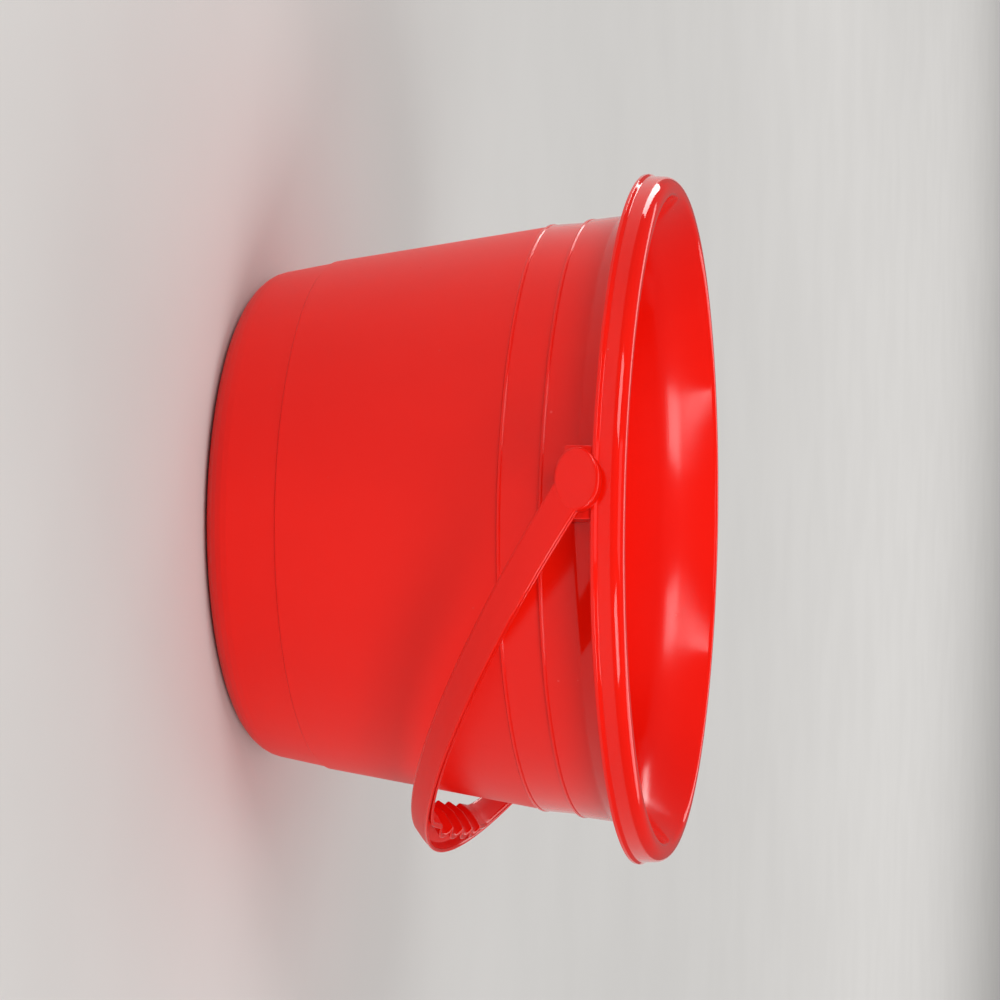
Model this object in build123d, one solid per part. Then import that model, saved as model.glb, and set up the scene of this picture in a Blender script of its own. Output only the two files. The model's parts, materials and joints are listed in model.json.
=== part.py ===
from build123d import *
import math
import os

# Wash bucket: a tapered round bucket with a downturned rim, and a swinging handle
# whose two pins snap into lugs under the rim.  Millimetres, +Z up, and the origin is
# the middle of the ring that the bucket stands on.  The pins lie along Y, and the
# handle hangs towards +X.

# ---- bucket: driving dimensions ----
HEIGHT = 215.0               # floor to the top of the rim
WALL = 2.2                   # wall thickness
LIP_RADIUS = 175.0           # bottom edge of the rim's skirt, the widest ring
LIP_Z = 200.0                # height of that edge
SKIRT_RADIUS = 173.8         # skirt above its lip
SKIRT_THICKNESS = 1.9
RIM_INNER_RADIUS = 164.5     # where the flat top of the rim turns down into the flare
FLARE_FOOT_Z = 191.0         # the flare inside the rim ends here

FOOT_INNER_RADIUS = 97.0     # inner edge of the ring that touches the floor
FOOT_RECESS = 3.0            # the base panel stands this far off the floor
LOWER_BAND_TOP_Z = 39.0      # the small step low on the wall
BASE_WALL_RADIUS = 123.8     # lower band carried down to the floor
LOWER_BAND_TOP_RADIUS = 130.9
MAIN_FOOT_RADIUS = 131.7     # main wall just above the small step
MAIN_TOP_RADIUS = 148.9      # main wall just below the lower bead
BASE_CORNER_RADIUS = 16.5

LOWER_BEAD_Z = 151.2         # underside of the lower bead
LOWER_BEAD_RADIUS = 150.0
UPPER_BEAD_Z = 171.4         # underside of the upper bead
UPPER_BEAD_RADIUS = 152.6
BEAD_HEIGHT = 2.0
BEAD_PROUD = 0.35            # a bead stands this far out of the band above it
BAND_TOP_RADIUS = 154.2      # upper band where the flare starts
BAND_2_TOP_RADIUS = 150.8    # band between the beads, at its top

# ---- lugs that carry the handle ----
LUG_WIDTH = 34.0
LUG_BOTTOM_Z = 187.0
LUG_FRONT_WALL = 3.4
LUG_SIDE_WALL = 2.4
LUG_BACK_RADIUS = 150.0      # inside the wall, so that a lug's block reaches it

# ---- heights at which the one moulding is divided into simple nodes ----
BASE_TOP_Z = 18.0            # just above the rounded corner at the foot
WALL_TOP_Z = 190.0           # where the flare starts

# ---- handle: driving dimensions, in its own flat frame ----
PIVOT_Z = 195.5
HANG_ANGLE = 31.0            # below the horizontal, at rest
ARCH_RADIUS = 188.5          # outer face of the handle's arch
ARCH_CENTRE = 7.5            # the arch's centre is this far from the pins' axis
ARCH_DEPTH = 7.8             # arch depth, outer face to inner face
PLATE = 2.2                  # thickness of the outer and the inner plate
WEB = 2.2                    # plate across the middle that joins them
PIN_END_HALF_WIDTH = 7.9     # half the width of the plates at the pins
GRIP_HALF_WIDTH = 6.0        # and at the far side of the grip
GRIP_LIFT = 3.0              # the inner plate stands higher than that at the grip
GRIP_DROP = 4.0              # and its lower edge hangs this much lower
GRIP_LIFT_REACH = 76.0       # both fall back to it this far from the middle
OUTER_RAKE = 20.0            # the outer plate leans this far, in degrees
INNER_RAKE = 29.0            # and the upper half of the inner plate this far
CREST_U = 175.9              # line of the grip's crests; clears the lip as the handle swings
FINGER_PITCH = 24.0
FINGERS = 4
FINGER_DEPTH = 4.6
CREST_LAND = 2.4             # flat left between two finger scallops
CREST_ROUNDING = 2.6         # more than a plate, so that the plate can follow it
GRIP_END_ROUNDING = 30.0

ARM_END_SPARE = 20.0         # the arms are drawn this far past the pins and cut back

# ---- pads and pins at the handle's ends ----
PAD_INNER_Y = 176.8
PAD_LENGTH = 29.2            # along X, at rest
PAD_HEIGHT = 20.8            # along Z, at rest
PAD_EDGE_ROUNDING = 1.2
PIN_RADIUS = 4.0
PIN_CLEARANCE = 0.08         # radial
PIN_HEAD_RADIUS = 5.3
PIN_HEAD_Y = 171.0           # face of the head that holds behind the lug's wall
PIN_HEAD_LENGTH = 3.4
PIN_SLOT = 1.8
PIN_SLOT_LENGTH = 9.0


def ring_section(points, radii):
    """A face in the XZ plane from corner points and the rounding of each corner."""
    outline = FilletPolyline(*points, radius=radii, close=True)
    return Plane.XZ * make_face(outline)


def bucket_shell():
    """The wall, the floor and the rim, turned about Z from one section."""
    rim_top = HEIGHT
    skirt_inside = SKIRT_RADIUS - SKIRT_THICKNESS
    corners = [
        ((0.0, FOOT_RECESS), 0),
        ((FOOT_INNER_RADIUS - 4.0, FOOT_RECESS), 2.0),
        ((FOOT_INNER_RADIUS, 0.0), 0.8),
        ((BASE_WALL_RADIUS, 0.0), BASE_CORNER_RADIUS),
        ((LOWER_BAND_TOP_RADIUS, LOWER_BAND_TOP_Z), 0),
        ((MAIN_FOOT_RADIUS, LOWER_BAND_TOP_Z + 0.7), 0),
        ((MAIN_TOP_RADIUS, LOWER_BEAD_Z), 0),
        ((LOWER_BEAD_RADIUS, LOWER_BEAD_Z + 0.4), 0.3),
        ((LOWER_BEAD_RADIUS, LOWER_BEAD_Z + BEAD_HEIGHT - 0.3), 0.3),
        ((LOWER_BEAD_RADIUS - BEAD_PROUD, LOWER_BEAD_Z + BEAD_HEIGHT), 0),
        ((BAND_2_TOP_RADIUS, UPPER_BEAD_Z), 0),
        ((UPPER_BEAD_RADIUS, UPPER_BEAD_Z + 0.5), 0.3),
        ((UPPER_BEAD_RADIUS, UPPER_BEAD_Z + BEAD_HEIGHT - 0.3), 0.3),
        ((UPPER_BEAD_RADIUS - BEAD_PROUD, UPPER_BEAD_Z + BEAD_HEIGHT), 0),
        ((BAND_TOP_RADIUS, FLARE_FOOT_Z - 1.0), 6.0),
        ((RIM_INNER_RADIUS + 1.6, rim_top - WALL), 1.5),
        ((skirt_inside - 0.3, rim_top - WALL), 4.0),
        ((skirt_inside, LIP_Z), 0),
        ((LIP_RADIUS, LIP_Z), 0.6),
        ((LIP_RADIUS, LIP_Z + 1.8), 0.5),
        ((SKIRT_RADIUS, LIP_Z + 3.2), 0.8),
        ((SKIRT_RADIUS - 0.4, rim_top), 5.8),
        ((RIM_INNER_RADIUS, rim_top), 3.0),
        ((BAND_TOP_RADIUS - WALL, FLARE_FOOT_Z), 8.0),
        ((MAIN_TOP_RADIUS - WALL, LOWER_BEAD_Z), 0),
        ((BASE_WALL_RADIUS - WALL, WALL), BASE_CORNER_RADIUS - WALL),
        ((FOOT_INNER_RADIUS + 1.0, WALL + 0.4), 2.0),
        ((FOOT_INNER_RADIUS - 4.5, FOOT_RECESS + WALL), 2.0),
        ((0.0, FOOT_RECESS + WALL), 0),
    ]
    section = ring_section([point for point, _ in corners], [radius for _, radius in corners])
    return revolve(section, Axis.Z)


def lug(side):
    """A box under the rim, open below, with the hole for the handle's pin."""
    depth = [
        (BAND_TOP_RADIUS - 0.9, LUG_BOTTOM_Z),
        (LIP_RADIUS, LUG_BOTTOM_Z),
        (LIP_RADIUS, LIP_Z + 1.0),
        (SKIRT_RADIUS - 1.0, LIP_Z + 4.0),
        (SKIRT_RADIUS - 1.0, HEIGHT - 6.0),
        (RIM_INNER_RADIUS + 1.6, HEIGHT - 1.2),
        (BAND_TOP_RADIUS - 1.0, FLARE_FOOT_Z),
    ]
    reach = LIP_RADIUS + 10.0
    block = revolve(Plane.XZ * make_face(Polyline(*depth, close=True)), Axis.Z)
    block &= Pos(0, side * reach / 2, HEIGHT / 2) * Box(LUG_WIDTH, reach, HEIGHT)
    hollow = [
        (BAND_TOP_RADIUS + 0.2, LUG_BOTTOM_Z - 1.0),
        (LIP_RADIUS - LUG_FRONT_WALL, LUG_BOTTOM_Z - 1.0),
        (LIP_RADIUS - LUG_FRONT_WALL, HEIGHT - 6.0),
        (RIM_INNER_RADIUS + 3.2, HEIGHT - WALL - 1.0),
        (BAND_TOP_RADIUS + 0.9, FLARE_FOOT_Z - 0.5),
    ]
    cavity = revolve(Plane.XZ * make_face(Polyline(*hollow, close=True)), Axis.Z)
    inner_width = LUG_WIDTH - 2 * LUG_SIDE_WALL
    cavity &= Pos(0, side * reach / 2, HEIGHT / 2) * Box(inner_width, reach, HEIGHT)
    return block - cavity


def pin_hole(side):
    """The running hole through a lug's front wall."""
    drill = Cylinder(PIN_RADIUS + PIN_CLEARANCE, 12.0)
    return Pos(0, side * (LIP_RADIUS - LUG_FRONT_WALL / 2), PIVOT_Z) * Rot(90, 0, 0) * drill


def slice_between(low, high):
    """The space between two heights, wider than the bucket."""
    across = 3 * LIP_RADIUS
    return Pos(0, 0, (low + high) / 2) * Box(across, across, high - low)


def lug_space(side):
    """The block of space that a lug takes out of the rim."""
    reach = LIP_RADIUS + 10.0
    depth = reach - LUG_BACK_RADIUS
    tall = HEIGHT - LUG_BOTTOM_Z + 10.0
    centre = (0, side * (reach - depth / 2), LUG_BOTTOM_Z + tall / 2 - 1.0)
    return Pos(*centre) * Box(LUG_WIDTH, depth, tall)


def bucket_base(shell):
    """The floor of the bucket, its foot ring and the rounded corner."""
    return shell & slice_between(-1.0, BASE_TOP_Z)


def bucket_wall(shell):
    """The tapered wall with its step and its two beads."""
    return shell & slice_between(BASE_TOP_Z, WALL_TOP_Z)


def rim_half(shell, side):
    """Half of the flare, the rolled top and the skirt, from one lug round to the other."""
    half_space = Pos(side * LIP_RADIUS, 0, HEIGHT) * Box(2 * LIP_RADIUS, 3 * LIP_RADIUS, HEIGHT)
    ring = shell & slice_between(WALL_TOP_Z, HEIGHT + 1.0) & half_space
    return ring - lug_space(-1) - lug_space(1)


def rim_lug(shell, side):
    """One lug with the stretch of rim that it is moulded into."""
    block = lug(side) - (shell & slice_between(-1.0, WALL_TOP_Z))
    block += shell & slice_between(WALL_TOP_Z, HEIGHT + 1.0) & lug_space(side)
    return block - pin_hole(side)


def arch_region(radius):
    """The flat D of this radius: a disc at the arch's centre, and straight arms."""
    arm_length = ARCH_CENTRE + ARM_END_SPARE
    arms = Pos(ARCH_CENTRE - arm_length / 2, 0) * Rectangle(arm_length, 2 * radius)
    ahead = Pos(ARCH_CENTRE + radius, 0) * Rectangle(2 * radius, 4 * radius)
    half_disc = Pos(ARCH_CENTRE, 0) * Circle(radius) & ahead
    return half_disc + arms


def hand_opening():
    """The flat region inside the handle, with the four finger scallops."""
    inner_radius = ARCH_RADIUS - ARCH_DEPTH
    chord = Pos(CREST_U - inner_radius, 0) * Rectangle(2 * inner_radius, 3 * inner_radius)
    opening = arch_region(inner_radius) & chord
    grip_ends = opening.vertices().filter_by_position(Axis.X, CREST_U - 1, CREST_U + 1)
    opening = fillet(grip_ends, GRIP_END_ROUNDING)
    half_chord = (FINGER_PITCH - CREST_LAND) / 2
    finger_radius = (half_chord ** 2 + FINGER_DEPTH ** 2) / (2 * FINGER_DEPTH)
    centre_u = CREST_U + FINGER_DEPTH - finger_radius
    for index in range(FINGERS):
        across = (index - (FINGERS - 1) / 2) * FINGER_PITCH
        opening += Pos(centre_u, across) * Circle(finger_radius)
    grip_half_length = FINGERS * FINGER_PITCH / 2
    corners = opening.vertices().filter_by_position(Axis.X, CREST_U - 1, CREST_U + 1)
    crests = corners.filter_by_position(Axis.Y, -grip_half_length, grip_half_length)
    return fillet(crests, CREST_ROUNDING)


def leaning_plate(region, low, high, rake):
    """A flat region at height 0 carried from low to high along a leaning line."""
    lean = math.tan(math.radians(rake))
    foot = Pos(low * lean, 0, low) * region
    length = (high - low) / math.cos(math.radians(rake))
    return extrude(foot, amount=length, dir=(lean, 0, 1))


def width_wedge():
    """The space that the plates fill seen from the side: wide at the pins, narrow at the grip."""
    reach = ARCH_RADIUS + 2 * ARCH_CENTRE
    side = Polyline(
        (0, -PIN_END_HALF_WIDTH),
        (reach, -GRIP_HALF_WIDTH),
        (reach, GRIP_HALF_WIDTH),
        (0, PIN_END_HALF_WIDTH),
        close=True,
    )
    return extrude(Plane.XZ * make_face(side), amount=2 * ARCH_RADIUS, both=True)


def grip_crown(side, rise):
    """The space above or below the web, out to a long shallow arc that the grip's edge follows."""
    radius = (GRIP_LIFT_REACH ** 2 + rise ** 2) / (2 * rise)
    tall = GRIP_HALF_WIDTH + rise
    barrel = Pos(CREST_U, 0, side * (tall - radius)) * Rot(0, 90, 0) * Cylinder(radius, 60.0)
    return barrel & Pos(CREST_U, 0, side * tall / 2) * Box(60.0, 2 * GRIP_LIFT_REACH, tall)


def inner_plate(opening, low, high, rake):
    """The plate that the fingers meet, a wall all along the hand opening."""
    wall = leaning_plate(offset(opening, PLATE), low, high, rake)
    return wall - leaning_plate(opening, low - 1.0, high + 1.0, rake)


def arch():
    """Outer plate, inner plate and the web between them, still lying flat."""
    opening = hand_opening()
    outer_strip = arch_region(ARCH_RADIUS) - arch_region(ARCH_RADIUS - PLATE)
    half_width = PIN_END_HALF_WIDTH
    outer = leaning_plate(outer_strip, -half_width, half_width, OUTER_RAKE) & width_wedge()
    upper = inner_plate(opening, 0, half_width, INNER_RAKE) & width_wedge()
    lower = inner_plate(opening, -half_width, 0, 0) & width_wedge()
    crown = inner_plate(opening, 0, GRIP_HALF_WIDTH + GRIP_LIFT, INNER_RAKE)
    crown &= grip_crown(1, GRIP_LIFT)
    crown += inner_plate(opening, -GRIP_HALF_WIDTH - GRIP_DROP, 0, 0) & grip_crown(-1, GRIP_DROP)
    web = extrude(arch_region(ARCH_RADIUS - PLATE / 2), amount=WEB / 2, both=True)
    web -= extrude(offset(opening, PLATE / 2), amount=WEB, both=True)
    return outer + upper + lower + crown + (web & width_wedge())


def pad(side):
    """The oval end of the handle's arm, level at rest."""
    thickness = ARCH_RADIUS - PAD_INNER_Y
    oval = extrude(Ellipse(PAD_LENGTH / 2, PAD_HEIGHT / 2), amount=thickness)
    outer_edge = oval.faces().sort_by(Axis.Z)[-1].edges()
    oval = fillet(outer_edge, PAD_EDGE_ROUNDING)
    return Pos(0, side * PAD_INNER_Y, PIVOT_Z) * Rot(-90 * side, 0, 0) * oval


def pin(side):
    """The split snap pin that turns in the lug, with its barbed head."""
    head_end_y = PIN_HEAD_Y - PIN_HEAD_LENGTH
    shank_length = PAD_INNER_Y + 1.0 - head_end_y
    shank = Pos(0, 0, shank_length / 2) * Cylinder(PIN_RADIUS, shank_length)
    barb = Pos(0, 0, PIN_HEAD_LENGTH / 2) * Cone(PIN_RADIUS, PIN_HEAD_RADIUS, PIN_HEAD_LENGTH)
    slot_centre = PIN_SLOT_LENGTH / 2 - 1.0
    slot = Pos(0, 0, slot_centre) * Box(PIN_SLOT, 3 * PIN_HEAD_RADIUS, PIN_SLOT_LENGTH)
    return Pos(0, side * head_end_y, PIVOT_Z) * Rot(-90 * side, 0, 0) * (shank + barb - slot)


def handle():
    """The handle's one moulding, hanging at its rest angle."""
    hanging = Pos(0, 0, PIVOT_Z) * Rot(0, HANG_ANGLE, 0) * arch()
    for side in (-1, 1):
        hanging += pad(side)
        hanging += pin(side)
    return hanging


shell = bucket_shell()
os.makedirs("parts", exist_ok=True)
export_step(bucket_base(shell), "parts/bucket_base.step")
export_step(bucket_wall(shell), "parts/bucket_wall.step")
export_step(rim_half(shell, 1), "parts/rim_handle_side.step")
export_step(rim_half(shell, -1), "parts/rim_far_side.step")
export_step(rim_lug(shell, -1), "parts/lug_front.step")
export_step(rim_lug(shell, 1), "parts/lug_back.step")
export_step(handle(), "parts/handle.step")
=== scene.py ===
# %% [markdown]
# # Wash bucket: surfaces, plastic and light
#
# A wash bucket is two mouldings of one red plastic: the bucket, with a rolled rim and two
# lugs under it, and a swinging handle whose pins snap into the lugs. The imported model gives
# every place and every size. Here each moulding is drawn again as a smooth surface, because
# the look of plastic is mostly its edges: light runs along every small rounding.

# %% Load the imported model
import json
import math
import bpy
import numpy as np
from mathutils import Matrix, Vector


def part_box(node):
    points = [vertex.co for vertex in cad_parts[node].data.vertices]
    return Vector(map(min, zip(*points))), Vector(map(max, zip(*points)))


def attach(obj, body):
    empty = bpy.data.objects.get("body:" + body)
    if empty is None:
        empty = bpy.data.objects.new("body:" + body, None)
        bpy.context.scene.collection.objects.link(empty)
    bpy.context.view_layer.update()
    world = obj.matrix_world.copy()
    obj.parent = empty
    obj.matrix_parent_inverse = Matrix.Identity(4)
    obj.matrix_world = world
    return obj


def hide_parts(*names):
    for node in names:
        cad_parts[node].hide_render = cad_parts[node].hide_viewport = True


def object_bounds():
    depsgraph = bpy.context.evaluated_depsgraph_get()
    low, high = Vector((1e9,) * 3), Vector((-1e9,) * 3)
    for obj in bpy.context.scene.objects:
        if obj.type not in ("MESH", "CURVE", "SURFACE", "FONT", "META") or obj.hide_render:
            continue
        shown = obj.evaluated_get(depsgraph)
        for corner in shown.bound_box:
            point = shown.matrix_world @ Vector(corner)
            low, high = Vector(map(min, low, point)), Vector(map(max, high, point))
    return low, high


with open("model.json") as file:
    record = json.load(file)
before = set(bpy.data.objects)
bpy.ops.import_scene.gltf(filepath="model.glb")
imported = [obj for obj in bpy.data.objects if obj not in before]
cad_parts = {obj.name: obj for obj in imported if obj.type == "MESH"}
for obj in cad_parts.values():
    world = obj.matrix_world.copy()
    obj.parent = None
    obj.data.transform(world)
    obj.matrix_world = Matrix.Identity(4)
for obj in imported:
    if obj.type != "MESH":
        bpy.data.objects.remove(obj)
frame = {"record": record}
cad_low, cad_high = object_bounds()
scene = bpy.context.scene
print("CAD box, metres:", tuple(cad_low), tuple(cad_high))

# %% [markdown]
# ## Sizes
#
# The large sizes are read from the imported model: the height, the radius of the rim's lip, the
# pins' axis and how far the handle hangs below level. The small ones, which a moulder would
# call details, are named here in millimetres and turned into metres in one place.

# %% Sizes read from the frame
MM = 0.001
swing = frame["record"]["behaviour"]["joints"][0]
grip_mount = next(m for m in frame["record"]["mounts"] if m["name"] == "grip")
height = cad_high.z / MM
lip_radius = -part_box("rim_far_side")[0].x / MM
wall_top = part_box("bucket_wall")[1].z / MM
lug_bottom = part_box("lug_front")[0].z / MM
arch_radius = cad_high.y / MM
pin_height = swing["pos_m"][2] / MM
grip_drop = swing["pos_m"][2] - grip_mount["pos_m"][2]
hang = math.atan2(grip_drop, grip_mount["pos_m"][0])
print("height %.1f, lip radius %.1f, wall top %.1f mm" % (height, lip_radius, wall_top))
print("pins at %.1f mm, handle hangs %.1f degrees below level" % (pin_height, math.degrees(hang)))

# %% [markdown]
# ## From an array to a closed mesh
#
# Every surface below is an array `points[i, j]`: step `i` along the shape and step `j` around
# its section. Neighbours make quads. The ends are closed with a fan where the section is a
# simple round, and folded shut, left to right, where it has a hollow. The sign of the enclosed
# volume tells which way the faces look, so no recalculation is needed afterwards.

# %% Arrays into closed shells, and shells into a piece
def closed_shell(points, ends="fan"):
    """Quads join neighbours; the last column joins the first. ends: fan, fold or ring."""
    rows, columns = points.shape[:2]
    index = np.arange(rows * columns).reshape(rows, columns)
    here, above = (index, np.roll(index, -1, 0)) if ends == "ring" else (index[:-1], index[1:])
    quads = np.stack([here, np.roll(here, -1, 1), np.roll(above, -1, 1), above], -1).reshape(-1, 4)
    places, tips = points.reshape(-1, 3), np.zeros((0, 3), int)
    if ends == "fan":
        first, last = index[0], index[-1]
        tips = np.concatenate([
            np.stack([np.roll(first, -1), first, np.full(columns, rows * columns)], -1),
            np.stack([last, np.roll(last, -1), np.full(columns, rows * columns + 1)], -1)])
        places = np.concatenate([places, points[0].mean(0)[None], points[-1].mean(0)[None]])
    if ends == "fold":
        left, right = index[:, :columns // 2], index[:, ::-1][:, :columns // 2]
        first = np.stack([left[0, 1:], left[0, :-1], right[0, :-1], right[0, 1:]], -1)
        last = np.stack([left[-1, :-1], left[-1, 1:], right[-1, 1:], right[-1, :-1]], -1)
        quads = np.concatenate([quads, first, last])
    corners = np.concatenate([quads[:, [0, 1, 2]], quads[:, [0, 2, 3]], tips])
    a, b, c = (places[corners[:, k]] for k in range(3))
    if (a * np.cross(b, c)).sum() < 0:
        quads, tips = quads[:, ::-1], tips[:, ::-1]
    return places, quads.tolist() + tips.tolist()


def piece(name, shells, satin=None):
    """One mesh object from closed shells in millimetres. satin is a number for each vertex."""
    starts = np.cumsum([0] + [len(places) for places, _ in shells])
    places = np.concatenate([places for places, _ in shells]) * MM
    faces = [[k + start for k in face] for (_, part), start in zip(shells, starts) for face in part]
    mesh = bpy.data.meshes.new(name)
    mesh.from_pydata(places.tolist(), [], faces)
    mesh.shade_smooth()
    satin = np.zeros(len(places)) if satin is None else satin
    mesh.attributes.new("satin", "FLOAT", "POINT").data.foreach_set("value", satin)
    made = bpy.data.objects.new(name, mesh)
    scene.collection.objects.link(made)
    print("%s: %d faces" % (name, len(faces)))
    return made


# %% [markdown]
# ## Outlines with rounded corners
#
# A moulding has no sharp corner anywhere: the tool's corners are rounded so that the plastic
# flows and lets go. So an outline is a list of corners, each with its own rounding, and one
# function turns it into straight runs joined by arcs. A little way in from each end of a long
# run it adds a point, which keeps the shading of the flat from bleeding into the arc.

# %% Rounded outlines
ARC_STEPS = 8
HOLD = 0.5


def rounded(corners, closed=True):
    """Straight runs with an arc at each corner, tangent to both runs. A corner is (a, b, radius)."""
    corners = np.array(corners, float)
    spot, radius = corners[:, :2], corners[:, 2:]
    back, ahead = np.roll(spot, 1, 0) - spot, np.roll(spot, -1, 0) - spot
    back /= np.linalg.norm(back, axis=1, keepdims=True)
    ahead /= np.linalg.norm(ahead, axis=1, keepdims=True)
    half_turn = (np.pi - np.arccos(np.clip((back * ahead).sum(1, keepdims=True), -1, 1))) / 2
    half_turn = np.clip(half_turn, 1e-4, 1.5)
    middle = (back + ahead) / np.maximum(np.linalg.norm(back + ahead, axis=1, keepdims=True), 1e-9)
    centre = spot + middle * radius / np.cos(half_turn)
    first = (spot + back * radius * np.tan(half_turn) - centre)[:, None]
    last = (spot + ahead * radius * np.tan(half_turn) - centre)[:, None]
    along = np.linspace(0, 1, ARC_STEPS)[None, :, None]
    turn = 2 * half_turn[:, None]
    arcs = (np.sin((1 - along) * turn) * first + np.sin(along * turn) * last) / np.sin(turn)
    line = (centre[:, None] + arcs).reshape(-1, 2)
    return held(line, closed)


def held(line, closed):
    """Drops repeated points and adds one a little in from each end of a long straight run."""
    step = np.linalg.norm(np.diff(line, axis=0), axis=1)
    line = line[np.concatenate([[True], step > 1e-4])]
    if closed and np.linalg.norm(line[0] - line[-1]) > 1e-4:
        line = np.concatenate([line, line[:1]])
    step = np.linalg.norm(np.diff(line, axis=0), axis=1)
    mark = np.concatenate([[0], np.cumsum(step)])
    long_run = step > 3 * HOLD
    extra = [mark[:-1][long_run] + HOLD, mark[1:][long_run] - HOLD]
    marks = np.sort(np.concatenate([mark] + extra))
    line = np.stack([np.interp(marks, mark, line[:, k]) for k in (0, 1)], -1)
    return line[:-1] if closed else line


# %% [markdown]
# ## Camera
#
# The view is turned by a quarter, so the bucket's up points to the right of the frame. The
# camera is therefore not tilted by eye but built from its three axes. It looks down by a small
# angle, from a little to the side of the near pin, through a long lens that keeps the far rim
# nearly as wide as the near one.

# %% Camera
AZIMUTH = math.radians(5.5)
ELEVATION = math.radians(11.8)
ROLL = math.radians(0.777)
DISTANCE = 1.6496
LENS = 115.2
AIM_HEIGHT = 0.1057
SHIFT = (0.0342, 0.0168)

forward = Vector((-math.sin(AZIMUTH) * math.cos(ELEVATION),
                  math.cos(AZIMUTH) * math.cos(ELEVATION), -math.sin(ELEVATION)))
level_right = Vector((math.cos(AZIMUTH), math.sin(AZIMUTH), 0))
level_up = level_right.cross(forward)
object_right = math.cos(ROLL) * level_right + math.sin(ROLL) * level_up
object_up = math.cos(ROLL) * level_up - math.sin(ROLL) * level_right
camera = bpy.data.objects.new("camera", bpy.data.cameras.new("camera"))
camera.data.lens = LENS
camera.data.shift_x, camera.data.shift_y = SHIFT
turn = Matrix((object_up, -object_right, -forward)).transposed().to_4x4()
camera.matrix_world = Matrix.Translation(Vector((0, 0, AIM_HEIGHT)) - DISTANCE * forward) @ turn
scene.collection.objects.link(camera)
scene.camera = camera
print("camera at", tuple(round(v, 3) for v in camera.location))

# %% [markdown]
# ## The bucket's shell
#
# The wall, the floor and the rim are one skin about two millimetres thick, the same all the
# way round. A lathe would cut it from one section, and that is how it is made here: the
# section goes out under the floor, up the outside over the step and the two beads, over the
# rim and down its skirt, and back inside. Turning it about the axis gives the whole shell.

# %% Section of the shell
WALL = 2.2
FOOT_RADIUS = 97.0
FOOT_RECESS = 3.0
BASE_RADIUS = 123.8
BASE_ROUNDING = 16.5
STEP_Z, STEP_RADIUS, STEP_RISE = 39.0, 130.9, 0.8
LOWER_BEAD_Z, LOWER_BEAD_RADIUS, BELOW_LOWER_BEAD = 151.2, 150.0, 148.9
UPPER_BEAD_Z, UPPER_BEAD_RADIUS, BELOW_UPPER_BEAD = 171.4, 152.6, 150.8
BEAD_HEIGHT, BEAD_PROUD = 2.0, 0.35
BAND_TOP_RADIUS = 154.2
RIM_INNER_RADIUS = 164.5
SKIRT_RADIUS, SKIRT_THICKNESS, SKIRT_LIP_Z = 173.8, 1.9, 200.0
CENTRE_DOT = 1.5


def bead(foot_z, radius):
    """A low ring round the wall: out, up and back to the band above, with soft corners."""
    return [(radius, foot_z + 0.4, 0.35), (radius, foot_z + BEAD_HEIGHT - 0.3, 0.7),
            (radius - BEAD_PROUD, foot_z + BEAD_HEIGHT, 0.4)]


# Each corner is (radius from the axis, height, rounding).
outside = [
    (CENTRE_DOT, FOOT_RECESS, 0), (FOOT_RADIUS - 4.0, FOOT_RECESS, 2.0),
    (FOOT_RADIUS, 0, 1.0), (BASE_RADIUS, 0, BASE_ROUNDING),
    (STEP_RADIUS, STEP_Z, 0.35), (STEP_RADIUS + STEP_RISE, STEP_Z + 0.7, 0.35),
    (BELOW_LOWER_BEAD, LOWER_BEAD_Z, 0.35)]
bands = bead(LOWER_BEAD_Z, LOWER_BEAD_RADIUS) + [(BELOW_UPPER_BEAD, UPPER_BEAD_Z, 0.35)]
bands += bead(UPPER_BEAD_Z, UPPER_BEAD_RADIUS) + [(BAND_TOP_RADIUS, wall_top, 6.0)]
skirt_inside = SKIRT_RADIUS - SKIRT_THICKNESS
rim = [
    (RIM_INNER_RADIUS + 1.6, height - WALL, 1.5), (skirt_inside - 0.3, height - WALL, 4.0),
    (skirt_inside, SKIRT_LIP_Z, 0.4), (lip_radius, SKIRT_LIP_Z, 0.6),
    (lip_radius, SKIRT_LIP_Z + 1.8, 0.5), (SKIRT_RADIUS, SKIRT_LIP_Z + 3.2, 0.8),
    (SKIRT_RADIUS - 0.4, height, 5.8), (RIM_INNER_RADIUS, height, 3.0)]
inside = [
    (BAND_TOP_RADIUS - WALL, wall_top + 1.0, 34.0), (BELOW_LOWER_BEAD - WALL, LOWER_BEAD_Z, 40.0),
    (BASE_RADIUS - WALL, WALL, BASE_ROUNDING - WALL), (FOOT_RADIUS + 1.0, WALL + 0.4, 2.0),
    (FOOT_RADIUS - 4.5, FOOT_RECESS + WALL, 2.0), (CENTRE_DOT, FOOT_RECESS + WALL, 0)]
section = rounded(outside + bands + rim + inside, closed=False)
print("the shell's section has %d points" % len(section))

# %% Turn the section
TURNS = 320


def turned(line, steps):
    """Each section point (r, z) swings round the axis: x = r cos a, y = r sin a, z stays."""
    angle = np.linspace(0, 2 * np.pi, steps, endpoint=False)[None]
    radius, up = line[:, :1], line[:, 1:]
    return np.stack([radius * np.cos(angle), radius * np.sin(angle), up + 0 * angle], -1)


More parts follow.
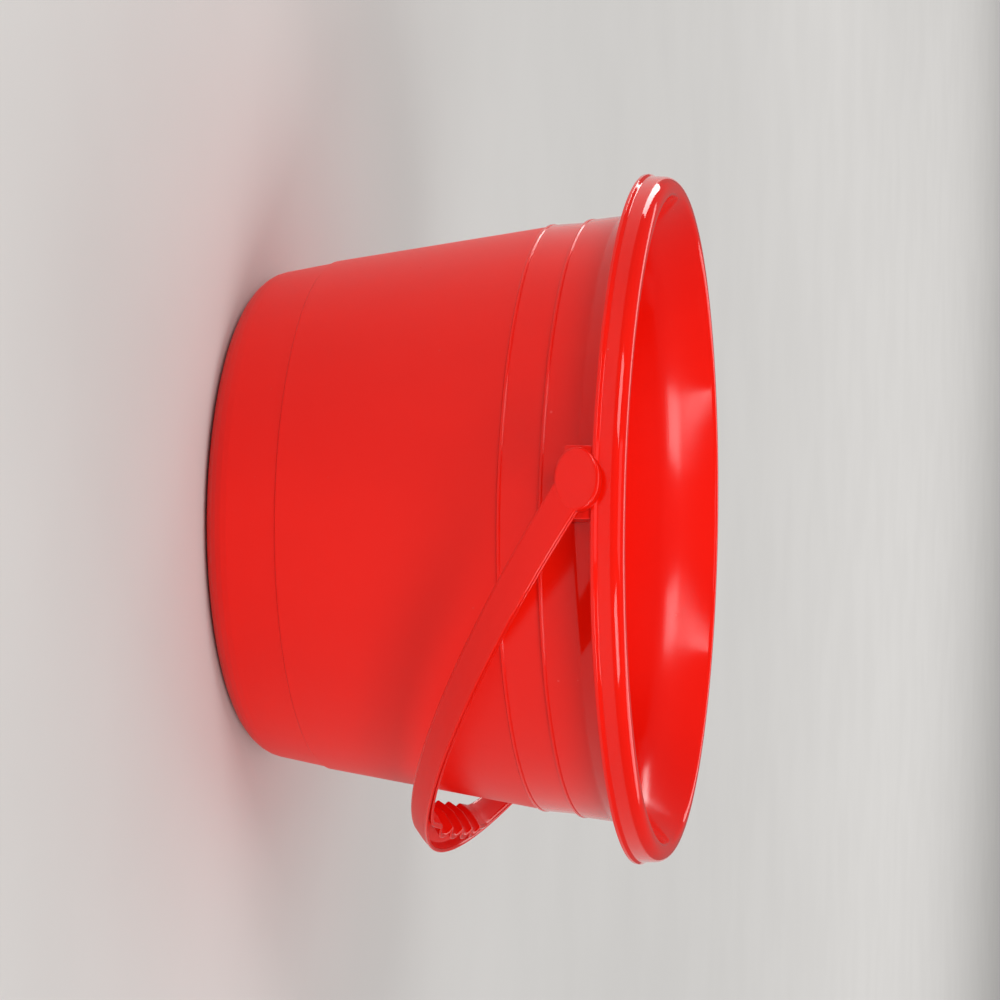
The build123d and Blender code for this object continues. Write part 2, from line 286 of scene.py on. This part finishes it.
ETCHED, BAND_SKIN, RIM_SKIN, INSIDE_SKIN = 1.0, 0.33, 0.06, 0.42
step = np.arange(len(section))
bead_start = np.argmax(section[:, 1] >= LOWER_BEAD_Z - 0.1)
rim_start = np.argmax(section[:, 1] >= wall_top)
inside_start = len(section) - np.argmax(section[::-1, 1] >= height - 3.0)
skin = np.select([step < bead_start, step < rim_start, step < inside_start],
                 [ETCHED, BAND_SKIN, RIM_SKIN], INSIDE_SKIN)
satin_by_vertex = np.concatenate([np.repeat(skin, TURNS), [ETCHED, INSIDE_SKIN]])
bucket_shell = piece("bucket_shell", [closed_shell(turned(section, TURNS))], satin_by_vertex)
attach(bucket_shell, "bucket")
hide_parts("bucket_base", "bucket_wall", "rim_handle_side", "rim_far_side")

# %% [markdown]
# ## The lugs
#
# Under the rim, on each side, a small open box carries a pin. Its front wall has the hole, and
# two side walls run back to the bucket. The front wall is a ring of surface round the hole:
# each point of its edge is joined by a straight line to the hole, and the thickness is a
# second trip round that line. The side walls are flat slabs with softened edges.

# %% Lug walls
LUG_WIDTH, LUG_TOP, LUG_CORNER = 34.0, 208.5, 1.4
LUG_FRONT_WALL, LUG_SIDE_WALL = 3.4, 2.4
HOLE_RADIUS = 4.08
EDGE = 0.7
SIDE_REACH, SIDE_TOP_REACH, SIDE_BURIED = 172.0, 169.5, 1.6
quarter = np.linspace(0, np.pi / 2, 5)


def lug_front_wall(side):
    """Edge point to hole along a straight line, out on the front face and back on the rear."""
    half = LUG_WIDTH / 2
    edge = rounded([(-half, lug_bottom, LUG_CORNER), (half, lug_bottom, LUG_CORNER),
                    (half, LUG_TOP, LUG_CORNER), (-half, LUG_TOP, LUG_CORNER)])
    away = edge - np.array([0, pin_height])
    away /= np.linalg.norm(away, axis=1, keepdims=True)
    hole = np.array([0, pin_height]) + HOLE_RADIUS * away
    share = np.array([0, 0.5] + [1] * 10 + [0.5, 0, 0, 0.0])
    inset = np.concatenate([[-0.2, 0], EDGE * (1 - np.sin(quarter)),
                            0.3 * (1 - np.cos(quarter)), [0, -0.2, 0, 0]])
    depth = np.concatenate([[0, 0], EDGE * (1 - np.cos(quarter)),
                            LUG_FRONT_WALL - 0.3 * (1 - np.sin(quarter)),
                            [LUG_FRONT_WALL] * 2, [LUG_FRONT_WALL - 0.2, 0.2]])
    share, inset, back = share[None, :, None], inset[None, :, None], depth[None] / LUG_FRONT_WALL
    flat = hole[:, None] + share * (edge - hole)[:, None] - inset * away[:, None]
    x, z = flat[..., 0], flat[..., 1]
    front = np.interp(z, [SKIRT_LIP_Z + 1, SKIRT_LIP_Z + 4], [lip_radius, SKIRT_RADIUS - 0.9])
    y = (1 - back) * np.sqrt(front ** 2 - x ** 2)
    y += back * np.sqrt((lip_radius - LUG_FRONT_WALL) ** 2 - x ** 2)
    return closed_shell(np.stack([x, side * y, z], -1), "ring")


def slab(outline, thickness, rounding):
    """An outline carried through a thickness; near both faces it shrinks along a quarter round."""
    tangent = np.roll(outline, -1, 0) - np.roll(outline, 1, 0)
    inward = np.stack([-tangent[:, 1], tangent[:, 0]], -1)
    inward /= np.linalg.norm(inward, axis=1, keepdims=True)
    shrink = rounding * (1 - np.sin(quarter))
    level = thickness / 2 - rounding * (1 - np.cos(quarter))
    shrink = np.concatenate([[rounding + HOLD], shrink, shrink[::-1], [rounding + HOLD]])
    level = np.concatenate([[thickness / 2], level, -level[::-1], [-thickness / 2]])
    flat = outline[None] + shrink[:, None, None] * inward[None]
    return flat, np.broadcast_to(level[:, None], flat.shape[:2])


def lug_side_wall(side, hand):
    """A slab across the lug, its back edge buried in the wall and its top in the rim."""
    back = BAND_TOP_RADIUS - 2.0
    top = height - SIDE_BURIED
    outline = rounded([(back, lug_bottom, 0.3), (SIDE_REACH, lug_bottom, 0.3),
                       (SIDE_REACH, LUG_TOP, 1.0), (SIDE_TOP_REACH, top, 1.0),
                       (RIM_INNER_RADIUS, top, 0.3), (back, wall_top + 0.5, 0.5)])
    flat, level = slab(outline, LUG_SIDE_WALL, 0.4)
    x = hand * (LUG_WIDTH - LUG_SIDE_WALL) / 2 + level
    return closed_shell(np.stack([x, side * flat[..., 0], flat[..., 1]], -1))


# %% Both lugs
for name, side in (("lug_front", -1), ("lug_back", 1)):
    walls = [lug_front_wall(side), lug_side_wall(side, -1), lug_side_wall(side, 1)]
    lug = piece(name + "_box", walls)
    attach(lug, "bucket")
    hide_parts(name)

# %% [markdown]
# ## The handle's path
#
# Seen flat, the handle is an arch: two straight arms and a half circle. Its inner edge leaves
# the circle for a straight grip with four finger hollows, and every crest between two hollows
# is a small arc that touches both. So the inner edge is a chain of arcs and short straights,
# each tangent to the next. Only half is listed, and a mirror gives the rest.

# %% The inner edge as a chain of arcs
ARCH_CENTRE = 7.5
ARCH_DEPTH = 7.8
CREST_U = 175.9
FINGER_PITCH, FINGER_DEPTH, CREST_LAND = 24.0, 4.6, 2.4
GRIP_CORNER = 30.0
half_chord = (FINGER_PITCH - CREST_LAND) / 2
finger_radius = (half_chord ** 2 + FINGER_DEPTH ** 2) / (2 * FINGER_DEPTH)
finger_u = CREST_U + FINGER_DEPTH - finger_radius
half_pitch, crest_gap = FINGER_PITCH / 2, CREST_U - finger_u
crest_radius = (half_pitch ** 2 + crest_gap ** 2 - finger_radius ** 2) / (2 * (finger_radius - crest_gap))
meeting = math.atan2(half_pitch, crest_gap + crest_radius)
inner_radius = arch_radius - ARCH_DEPTH


def arc(u, y, radius, start, end, step=5.0):
    """Points and outward normals of an arc. A negative radius marks a crest: its normal looks in."""
    count = max(3, int(np.ceil(abs(end - start) / math.radians(step))) + 1)
    angle = np.linspace(start, end, count)
    ray = np.stack([np.cos(angle), np.sin(angle)], -1)
    return np.array([u, y]) + abs(radius) * ray, np.sign(radius) * ray


def straight(start, end, normal, count=5):
    """Evenly spaced points from start to end, all with the same normal."""
    share = np.linspace(0, 1, count)[:, None]
    points = (1 - share) * np.array(start, float) + share * np.array(end, float)
    return points, np.tile(np.array(normal, float), (count, 1))


def crest(y, start, end):
    """The small arc over one crest, centred in the plastic."""
    return arc(CREST_U + crest_radius, y, -crest_radius, start, end, 9.0)


corner_u = CREST_U - GRIP_CORNER
corner_y = math.sqrt((inner_radius - GRIP_CORNER) ** 2 - (corner_u - ARCH_CENTRE) ** 2)
corner_angle = math.atan2(corner_y, corner_u - ARCH_CENTRE)
links = [crest(0, np.pi, np.pi - meeting)]
for finger in (0, 1):
    middle = (finger + 0.5) * FINGER_PITCH
    links.append(arc(finger_u, middle, finger_radius, -meeting, meeting, 4.0))
    last = np.pi if finger else np.pi - meeting
    links.append(crest((finger + 1) * FINGER_PITCH, np.pi + meeting, last))
links.append(straight((CREST_U, 2 * FINGER_PITCH), (CREST_U, corner_y), (1, 0)))
links.append(arc(corner_u, corner_y, GRIP_CORNER, 0, corner_angle, 2.5))
links.append(arc(ARCH_CENTRE, 0, inner_radius, corner_angle, np.pi / 2, 1.2))
links.append(straight((ARCH_CENTRE, inner_radius), (0, inner_radius), (0, 1)))
half_path = np.concatenate([points for points, _ in links])
half_normal = np.concatenate([normals for _, normals in links])
fresh = np.concatenate([[True], np.linalg.norm(np.diff(half_path, axis=0), axis=1) > 1e-3])
half_path, half_normal = half_path[fresh], half_normal[fresh]
mirror = np.array([1, -1])
inner_path = np.concatenate([(half_path * mirror)[:0:-1], half_path])
inner_normal = np.concatenate([(half_normal * mirror)[:0:-1], half_normal])
print("finger radius %.1f, crest radius %.1f, %d steps" % (finger_radius, crest_radius, len(inner_path)))

# %% [markdown]
# ## The handle's section
#
# Cut through, the handle is an H lying on its side: a plate the fingers meet, a plate outside,
# and a web between them. That is how a moulder makes a stiff handle with little plastic. The
# section is one closed line, and each of its points knows which plate it belongs to, how deep
# it lies in it, and how high it stands. The outer plate has a faint ridge along its middle.

# %% One line round the H
PLATE, WEB_HALF, COVE = 2.2, 1.1, 0.8
TOP_ROUND = 0.95
PIN_END_HALF, GRIP_HALF = 7.9, 6.0
GRIP_LIFT, GRIP_DROP, LIFT_REACH = 3.0, 4.0, 76.0
OUTER_RAKE, INNER_RAKE = math.radians(20), math.radians(29)
RIDGE = 0.28
SOFT_BEND = 3.2
ARM_SUNK, ARM_FADE = 0.25, 13.0


def upper_half():
    """Columns: which plate (0 inner, 1 outer), depth into it, height above the web, share of height."""
    up, over = TOP_ROUND * (1 - np.cos(quarter)), TOP_ROUND * (1 - np.sin(quarter))
    inner = [(0, 0, 0.15, 0), (0, 0, 0, 0.5), (0, 0, -TOP_ROUND - HOLD, 1)]
    inner += [(0, a, -b, 1) for a, b in zip(up, over)]
    inner += [(0, PLATE - a, -b, 1) for a, b in zip(up[::-1], over[::-1])]
    inner += [(0, PLATE, -TOP_ROUND - HOLD, 1), (0, PLATE, WEB_HALF + COVE + HOLD, 0)]
    cove_in = COVE * (1 - np.cos(quarter))
    cove_up = COVE * (1 - np.sin(quarter))
    inner += [(0, PLATE + a, WEB_HALF + b, 0) for a, b in zip(cove_in, cove_up)]
    outer = [(1, depth, rise, share) for _, depth, rise, share in inner[::-1]]
    return np.array(inner + outer)


half_line = upper_half()
line = np.concatenate([half_line, half_line[::-1]])
above = np.repeat([1.0, -1.0], len(half_line))
print("the handle's section has %d points" % len(line))


# %% Carry the section along the arch
SWELL_SOFTNESS = 0.05


def swell(y, rise):
    """Extra height of the inner plate: a long shallow arc over the grip, fading softly to nothing."""
    curve = (LIFT_REACH ** 2 + rise ** 2) / (2 * rise)
    over = rise - curve + np.sqrt(np.maximum(curve ** 2 - y ** 2, 0))
    return (over + np.sqrt(over ** 2 + SWELL_SOFTNESS)) / 2


def handle_arch():
    """Inner and outer edge at the same step are two ends of a rung. A section point sits on one
    end, shifted by its depth, and leans outwards by its level times the tangent of the plate's
    rake. The inner plate leans only in its upper half: (v + root(v^2 + b^2)) / 2 bends softly."""
    u, y = inner_path[:, :1], inner_path[:, 1:]
    ray = np.where(u > ARCH_CENTRE, np.hstack([u - ARCH_CENTRE, y]), np.hstack([0 * u, y]))
    ray /= np.linalg.norm(ray, axis=1, keepdims=True)
    outer_path = np.hstack([np.minimum(u, ARCH_CENTRE), 0 * y]) + arch_radius * ray
    plate, depth, rise, share = (line[:, k][None, :, None] for k in range(4))
    half = PIN_END_HALF + (GRIP_HALF - PIN_END_HALF) * u / (arch_radius + 2 * ARCH_CENTRE)
    side = above[None, :, None]
    extra = np.where(side > 0, swell(y, GRIP_LIFT)[:, None], swell(y, GRIP_DROP)[:, None])
    tall = half[:, None] + np.where(plate == 0, extra, 0)
    level = side * (rise + share * tall)
    sunk = ARM_SUNK * np.clip(1 - u / ARM_FADE, 0, 1)[:, None]
    hollow = RIDGE * np.clip(np.abs(level) / half[:, None], 0, 1) + sunk
    depth = depth + np.where((plate == 1) & (depth < PLATE / 2), hollow, 0)
    flat = np.where(plate == 0, inner_path[:, None] + depth * inner_normal[:, None],
                    outer_path[:, None] - depth * ray[:, None])
    bent = (level + np.sqrt(level ** 2 + SOFT_BEND ** 2)) / 2
    lean = np.where(plate == 0, np.tan(INNER_RAKE) * bent, np.tan(OUTER_RAKE) * level)
    return np.concatenate([flat[..., :1] + lean, flat[..., 1:], level], -1)


def hung(points):
    """Turns the flat handle down about the pins' axis by the angle it hangs at."""
    u, y, level = points[..., 0], points[..., 1], points[..., 2]
    x = u * math.cos(hang) + level * math.sin(hang)
    z = pin_height - u * math.sin(hang) + level * math.cos(hang)
    return np.stack([x, y, z], -1)


# The plates' edges are smoother than their faces, so each draws a thin bright line.
smooth_edge = (np.abs(line[:, 2]) <= TOP_ROUND) & (line[:, 3] == 1)
arch_skin = np.tile(np.where(smooth_edge, 0.0, 1.0), len(inner_path))
arch = piece("handle_arch", [closed_shell(hung(handle_arch()), "fold")], arch_skin)
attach(arch, "handle")
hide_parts("handle")

# %% [markdown]
# ## Pads and snap pins
#
# Each arm ends in an oval pad that hides the pin behind it. The pin is split, so that its two
# halves squeeze together as the barbed head goes through the lug's hole and spring apart behind
# it. A half is a D carried along the pin, its radius following shank and barb.

# %% Pads
PAD_HALF_LENGTH, PAD_HALF_HEIGHT = 14.6, 10.4
PAD_INNER_Y, PAD_ROUNDING = 176.8, 1.2
FACE_RELIEF = 0.08


def pad(side):
    """An ellipse carried outwards, shrinking along a quarter round at the outer edge."""
    angle = np.linspace(0, 2 * np.pi, 96, endpoint=False)
    thickness = arch_radius - FACE_RELIEF - PAD_INNER_Y
    outline = np.stack([PAD_HALF_LENGTH * np.cos(angle), PAD_HALF_HEIGHT * np.sin(angle)], -1)
    flat, level = slab(outline, thickness, PAD_ROUNDING)
    y = side * (PAD_INNER_Y + thickness / 2 + level)
    return closed_shell(np.stack([flat[..., 0], y, pin_height + flat[..., 1]], -1))


# %% Snap pins
PIN_RADIUS, HEAD_RADIUS = 4.0, 5.3
HEAD_FACE_Y, HEAD_LENGTH = 171.0, 3.4
SLOT, SLOT_END_Y = 1.8, 176.0


def pin_half(side, hand):
    """A D-shaped section whose radius grows into the barb and tapers to the tip."""
    tip = HEAD_FACE_Y - HEAD_LENGTH
    stations = np.array([tip, tip + 0.3, HEAD_FACE_Y - 0.4, HEAD_FACE_Y - 0.1, HEAD_FACE_Y,
                         HEAD_FACE_Y + 0.05, SLOT_END_Y])[:, None]
    radius = np.array([PIN_RADIUS - 0.3, PIN_RADIUS, HEAD_RADIUS - 0.1, HEAD_RADIUS,
                       HEAD_RADIUS - 0.1, PIN_RADIUS, PIN_RADIUS])[:, None]
    start = np.arcsin(SLOT / 2 / radius)
    share = np.linspace(0, 1, 28)[None]
    angle = start + (np.pi - 2 * start) * share
    x, z = radius * np.cos(angle), radius * np.sin(angle)
    return closed_shell(np.stack([x, side * stations + 0 * x, pin_height + hand * z], -1))


def pin_root(side):
    """The whole round behind the slot, buried in the pad."""
    angle = np.linspace(0, 2 * np.pi, 48, endpoint=False)[None]
    stations = np.array([SLOT_END_Y - 0.05, PAD_INNER_Y + 1.0])[:, None]
    x, z = PIN_RADIUS * np.cos(angle), PIN_RADIUS * np.sin(angle)
    x, z, y = x + 0 * stations, z + 0 * stations, side * stations + 0 * x
    return closed_shell(np.stack([x, y, pin_height + z], -1))


for name, side in (("front", -1), ("back", 1)):
    end_pad = piece("handle_pad_" + name, [pad(side)])
    snap_pin = piece("snap_pin_" + name, [pin_half(side, 1), pin_half(side, -1), pin_root(side)])
    for made in (end_pad, snap_pin):
        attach(made, "handle")
        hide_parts("handle")

# %% [markdown]
# ## Plastic
#
# Both mouldings are the same red polypropylene. What differs is the skin the tool gave them.
# The rim, the bands and the inside come off polished steel and mirror the lamps. The main wall
# comes off etched steel, so it scatters light. Three effects are shared by every finish, and
# each is a node group: the etched grain, the slow waves of a wall that has shrunk as it
# cooled, and the light rubbing that handling leaves.

# %% Node helpers
def new_group(name, inputs, outputs):
    """An empty shader node group with float inputs and named outputs."""
    group = bpy.data.node_groups.new(name, "ShaderNodeTree")
    for label, value in inputs.items():
        socket = group.interface.new_socket(label, in_out="INPUT", socket_type="NodeSocketFloat")
        socket.default_value = value
    for label in outputs:
        group.interface.new_socket(label, in_out="OUTPUT", socket_type="NodeSocketFloat")
    return group, group.nodes.new("NodeGroupInput"), group.nodes.new("NodeGroupOutput")


def add(tree, kind, settings=None, **inputs):
    """One node: settings are its own options, inputs are values or sockets to link."""
    node = tree.nodes.new(kind)
    for key, value in (settings or {}).items():
        setattr(node, key, value)
    for key, value in inputs.items():
        socket = node.inputs[int(key[1:]) if key[1:].isdigit() else key.replace("_", " ")]
        if isinstance(value, bpy.types.NodeSocket):
            tree.links.new(value, socket)
        else:
            socket.default_value = value
    return node


def remap(tree, value, low, high, to_low=0.0, to_high=1.0):
    """Maps low..high onto to_low..to_high, clamped, with a smooth start and end."""
    node = add(tree, "ShaderNodeMapRange", {"interpolation_type": "SMOOTHSTEP"}, i0=value,
               i1=low, i2=high, i3=to_low, i4=to_high)
    return node.outputs[0]


def math_node(tree, operation, first, second=0.0):
    """One sum on two values or sockets."""
    return add(tree, "ShaderNodeMath", {"operation": operation}, i0=first, i1=second).outputs[0]


# %% Etched grain, slow waves and rubbing
def grain_group():
    """Height of an etched skin: fine noise at Size grains to the metre, softened by a coarser one."""
    group, given, result = new_group("etched_grain", {"Size": 1400.0}, ["Height"])
    spot = add(group, "ShaderNodeTexCoord").outputs["Object"]
    fine = add(group, "ShaderNodeTexNoise", Vector=spot, Scale=given.outputs["Size"], Detail=2.0)
    coarse = math_node(group, "MULTIPLY", given.outputs["Size"], 0.3)
    slow = add(group, "ShaderNodeTexNoise", Vector=spot, Scale=coarse, Detail=1.0)
    both = math_node(group, "ADD", fine.outputs[0], math_node(group, "MULTIPLY", slow.outputs[0], 0.7))
    group.links.new(both, result.inputs["Height"])
    return group


def waves_group():
    """Height of a moulded wall's slow waves, drawn out along Z as the plastic flowed."""
    group, given, result = new_group("flow_waves", {"Size": 26.0, "Stretch": 0.22}, ["Height"])
    spot = add(group, "ShaderNodeTexCoord").outputs["Object"]
    parts = add(group, "ShaderNodeSeparateXYZ", i0=spot).outputs
    tall = math_node(group, "MULTIPLY", parts["Z"], given.outputs["Stretch"])
    flow = add(group, "ShaderNodeCombineXYZ", X=parts["X"], Y=parts["Y"], Z=tall).outputs[0]
    waves = add(group, "ShaderNodeTexNoise", Vector=flow, Scale=given.outputs["Size"], Detail=3.0)
    group.links.new(waves.outputs[0], result.inputs["Height"])
    return group


def rubbing_group():
    """Marks: thin hairs of stretched noise, kept only in patches. Dust: rare fine dots."""
    group, given, result = new_group("handling", {"Amount": 0.5}, ["Marks", "Dust"])
    spot = add(group, "ShaderNodeTexCoord").outputs["Object"]
    hair_map = add(group, "ShaderNodeMapping", Vector=spot)
    hair_map.inputs["Scale"].default_value = (1.0, 1.0, 24.0)
    hair_map.inputs["Rotation"].default_value = (0.16, 0.11, 0.0)
    hairs = add(group, "ShaderNodeTexNoise", Vector=hair_map.outputs[0], Scale=60.0, Detail=6.0)
    patches = add(group, "ShaderNodeTexNoise", Vector=spot, Scale=14.0, Detail=2.0)
    marks = math_node(group, "MULTIPLY", remap(group, hairs.outputs[0], 0.60, 0.72),
                      remap(group, patches.outputs[0], 0.46, 0.66))
    marks = math_node(group, "MULTIPLY", marks, given.outputs["Amount"])
    dots = add(group, "ShaderNodeTexVoronoi", Vector=spot, Scale=110.0)
    rare = add(group, "ShaderNodeTexNoise", Vector=spot, Scale=75.0, Detail=0.0)
    dust = math_node(group, "MULTIPLY", remap(group, dots.outputs["Distance"], 0.10, 0.04),
                     remap(group, rare.outputs[0], 0.66, 0.70))
    group.links.new(marks, result.inputs["Marks"])
    group.links.new(dust, result.inputs["Dust"])
    return group


grain, waves, handling = grain_group(), waves_group(), rubbing_group()
print("effects:", grain.name, waves.name, handling.name)


# %% Red plastic in its finishes
PALE_RUBBED = (0.75, 0.30, 0.26, 1)
DUST_PALES, MARKS_PALE = 0.10, 0.03
DUST_DULLS, MARKS_DULL = 0.3, 0.12
GLOSS_KEEPS_GRAIN = 0.1
PLASTIC_IOR, PLASTIC_SPECULAR = 1.49, 0.36


def placed(tree, group, **inputs):
    """The group as a node in this material, with this material's own values."""
    node = tree.nodes.new("ShaderNodeGroup")
    node.node_tree = group
    for key, value in inputs.items():
        node.inputs[key].default_value = value
    return node.outputs


def red_plastic(name, deep, bright, gloss_roughness, satin_roughness, wave_depth, grain_depth):
    """Colour drifts between two reds; the satin attribute chooses the skin."""
    material = bpy.data.materials.new(name)
    material.use_nodes = True
    tree = material.node_tree
    shader = tree.nodes["Principled BSDF"]
    skin = add(tree, "ShaderNodeAttribute", {"attribute_name": "satin"}).outputs["Fac"]
    drift = placed(tree, waves, Size=9.0, Stretch=0.6)["Height"]
    flow = placed(tree, waves, Size=70.0, Stretch=0.08)["Height"]
    etched = placed(tree, grain)["Height"]
    wear = placed(tree, handling)
    red = add(tree, "ShaderNodeMix", {"data_type": "RGBA"}, i0=remap(tree, drift, 0.35, 0.65),
              i6=deep, i7=bright).outputs[2]
    dusty = math_node(tree, "MULTIPLY", wear["Dust"], DUST_PALES)
    rubbed = math_node(tree, "MULTIPLY", wear["Marks"], MARKS_PALE)
    pale = math_node(tree, "ADD", dusty, rubbed)
    colour = add(tree, "ShaderNodeMix", {"data_type": "RGBA"}, i0=pale, i6=red,
                 i7=PALE_RUBBED).outputs[2]
    rough = remap(tree, skin, 0.0, 1.0, gloss_roughness, satin_roughness)
    rough = math_node(tree, "ADD", rough, math_node(tree, "MULTIPLY", wear["Marks"], MARKS_DULL))
    rough = math_node(tree, "ADD", rough, math_node(tree, "MULTIPLY", wear["Dust"], DUST_DULLS))
    rough = math_node(tree, "ADD", rough, remap(tree, drift, 0.3, 0.7, -0.02, 0.02))
    etched = math_node(tree, "MULTIPLY", etched, remap(tree, skin, 0.0, 1.0, GLOSS_KEEPS_GRAIN, 1.0))
    depth = math_node(tree, "ADD", math_node(tree, "MULTIPLY", etched, grain_depth),
                      math_node(tree, "MULTIPLY", flow, wave_depth))
    bump = add(tree, "ShaderNodeBump", Height=depth, Strength=1.0, Distance=MM)
    tree.links.new(colour, shader.inputs["Base Color"])
    tree.links.new(rough, shader.inputs["Roughness"])
    tree.links.new(bump.outputs[0], shader.inputs["Normal"])
    shader.inputs["IOR"].default_value = PLASTIC_IOR
    shader.inputs["Specular IOR Level"].default_value = PLASTIC_SPECULAR
    return material


bucket_plastic = red_plastic("bucket_plastic", (0.87, 0.0062, 0.0012, 1), (0.92, 0.0082, 0.0018, 1),
                             0.06, 0.42, 0.06, 0.010)
handle_plastic = red_plastic("handle_plastic", (0.82, 0.0055, 0.0012, 1), (0.87, 0.0075, 0.0018, 1),
                             0.08, 0.40, 0.02, 0.006)
for made in [o for o in scene.objects if o.type == "MESH" and "satin" in o.data.attributes]:
    on_handle = made.name.startswith(("handle", "snap"))
    made.data.materials.append(handle_plastic if on_handle else bucket_plastic)
    print(made.name, "gets", made.data.materials[0].name)

# %% [markdown]
# ## Studio
#
# A pale floor runs out past the frame, so no horizon shows. The light is soft and comes from
# everywhere. Two large lamps in front, left and right, draw the patches inside the flare. A low
# one behind on the left draws the streaks on the beads and the rim, a weak one overhead fills
# the top edges, and the last lights the floor behind the bucket. Each is far off, so that the
# floor stays even, and is sized by the angle it fills as seen from the bucket.

# %% Floor
FLOOR_HALF = 30.0
corners = np.array([[-1, -1, 0], [1, -1, 0], [1, 1, 0], [-1, 1, 0]]) * FLOOR_HALF
floor_mesh = bpy.data.meshes.new("floor")
floor_mesh.from_pydata(corners.tolist(), [], [[0, 1, 2, 3]])
floor = bpy.data.objects.new("floor", floor_mesh)
scene.collection.objects.link(floor)
paper = bpy.data.materials.new("paper")
paper.use_nodes = True
tree = paper.node_tree
mottle = add(tree, "ShaderNodeTexNoise", Vector=add(tree, "ShaderNodeTexCoord").outputs["Object"],
             Scale=5.0, Detail=4.0).outputs[0]
tone = add(tree, "ShaderNodeMix", {"data_type": "RGBA"}, i0=remap(tree, mottle, 0.3, 0.7),
           i6=(0.625, 0.612, 0.598, 1), i7=(0.645, 0.632, 0.618, 1)).outputs[2]
tree.links.new(tone, tree.nodes["Principled BSDF"].inputs["Base Color"])
tree.nodes["Principled BSDF"].inputs["Roughness"].default_value = 0.9
floor.data.materials.append(paper)


# %% Lamps
def lamp(name, azimuth, elevation, wide, tall, radiance, distance=4.0, aim=(0, 0, 0)):
    """An area lamp far off, placed and sized by angles seen from the bucket; power from radiance."""
    turn, rise = math.radians(azimuth), math.radians(elevation)
    toward = Vector((-forward.x, -forward.y, 0)).normalized()
    level = math.cos(turn) * toward + math.sin(turn) * level_right
    place = distance * (math.cos(rise) * level + Vector((0, 0, math.sin(rise))))
    data = bpy.data.lights.new(name, "AREA")
    data.shape = "RECTANGLE"
    data.size = 2 * distance * math.tan(math.radians(wide) / 2)
    data.size_y = 2 * distance * math.tan(math.radians(tall) / 2)
    data.energy = math.pi * data.size * data.size_y * radiance
    made = bpy.data.objects.new(name, data)
    made.location = place
    made.rotation_mode = "QUATERNION"
    made.rotation_quaternion = (place - Vector(aim)).to_track_quat("Z", "Y")
    scene.collection.objects.link(made)
    print(name, "at", tuple(round(v, 2) for v in place), "power %.0f W" % data.energy)


lamp("left_lamp", -44, 36, 24, 22, 6.0)
lamp("right_lamp", 42, 36, 26, 22, 6.8)
lamp("rear_left_lamp", -132, 8, 28, 15, 6.0)
lamp("top_lamp", -10, 74, 26, 26, 1.0)
lamp("backdrop_lamp", 180, 35, 60, 34, 1.7, distance=6.5, aim=(0, 6.0, 0))

# %% [markdown]
# The rest of the light is the studio itself: even and pale for everything it falls on, but a
# good deal darker in mirror reflections, as a room is behind the lamps.

# %% Room light
ROOM_GLOW, ROOM_MIRRORED = 0.42, 0.16
world = bpy.data.worlds.new("studio")
world.use_nodes = True
scene.world = world
room = world.node_tree
sky = room.nodes["Background"]
sky.inputs["Color"].default_value = (1.0, 0.99, 0.97, 1)
mirror = add(room, "ShaderNodeLightPath").outputs["Is Glossy Ray"]
room.links.new(remap(room, mirror, 0.0, 1.0, ROOM_GLOW, ROOM_MIRRORED), sky.inputs["Strength"])
scene.view_settings.view_transform = "Standard"
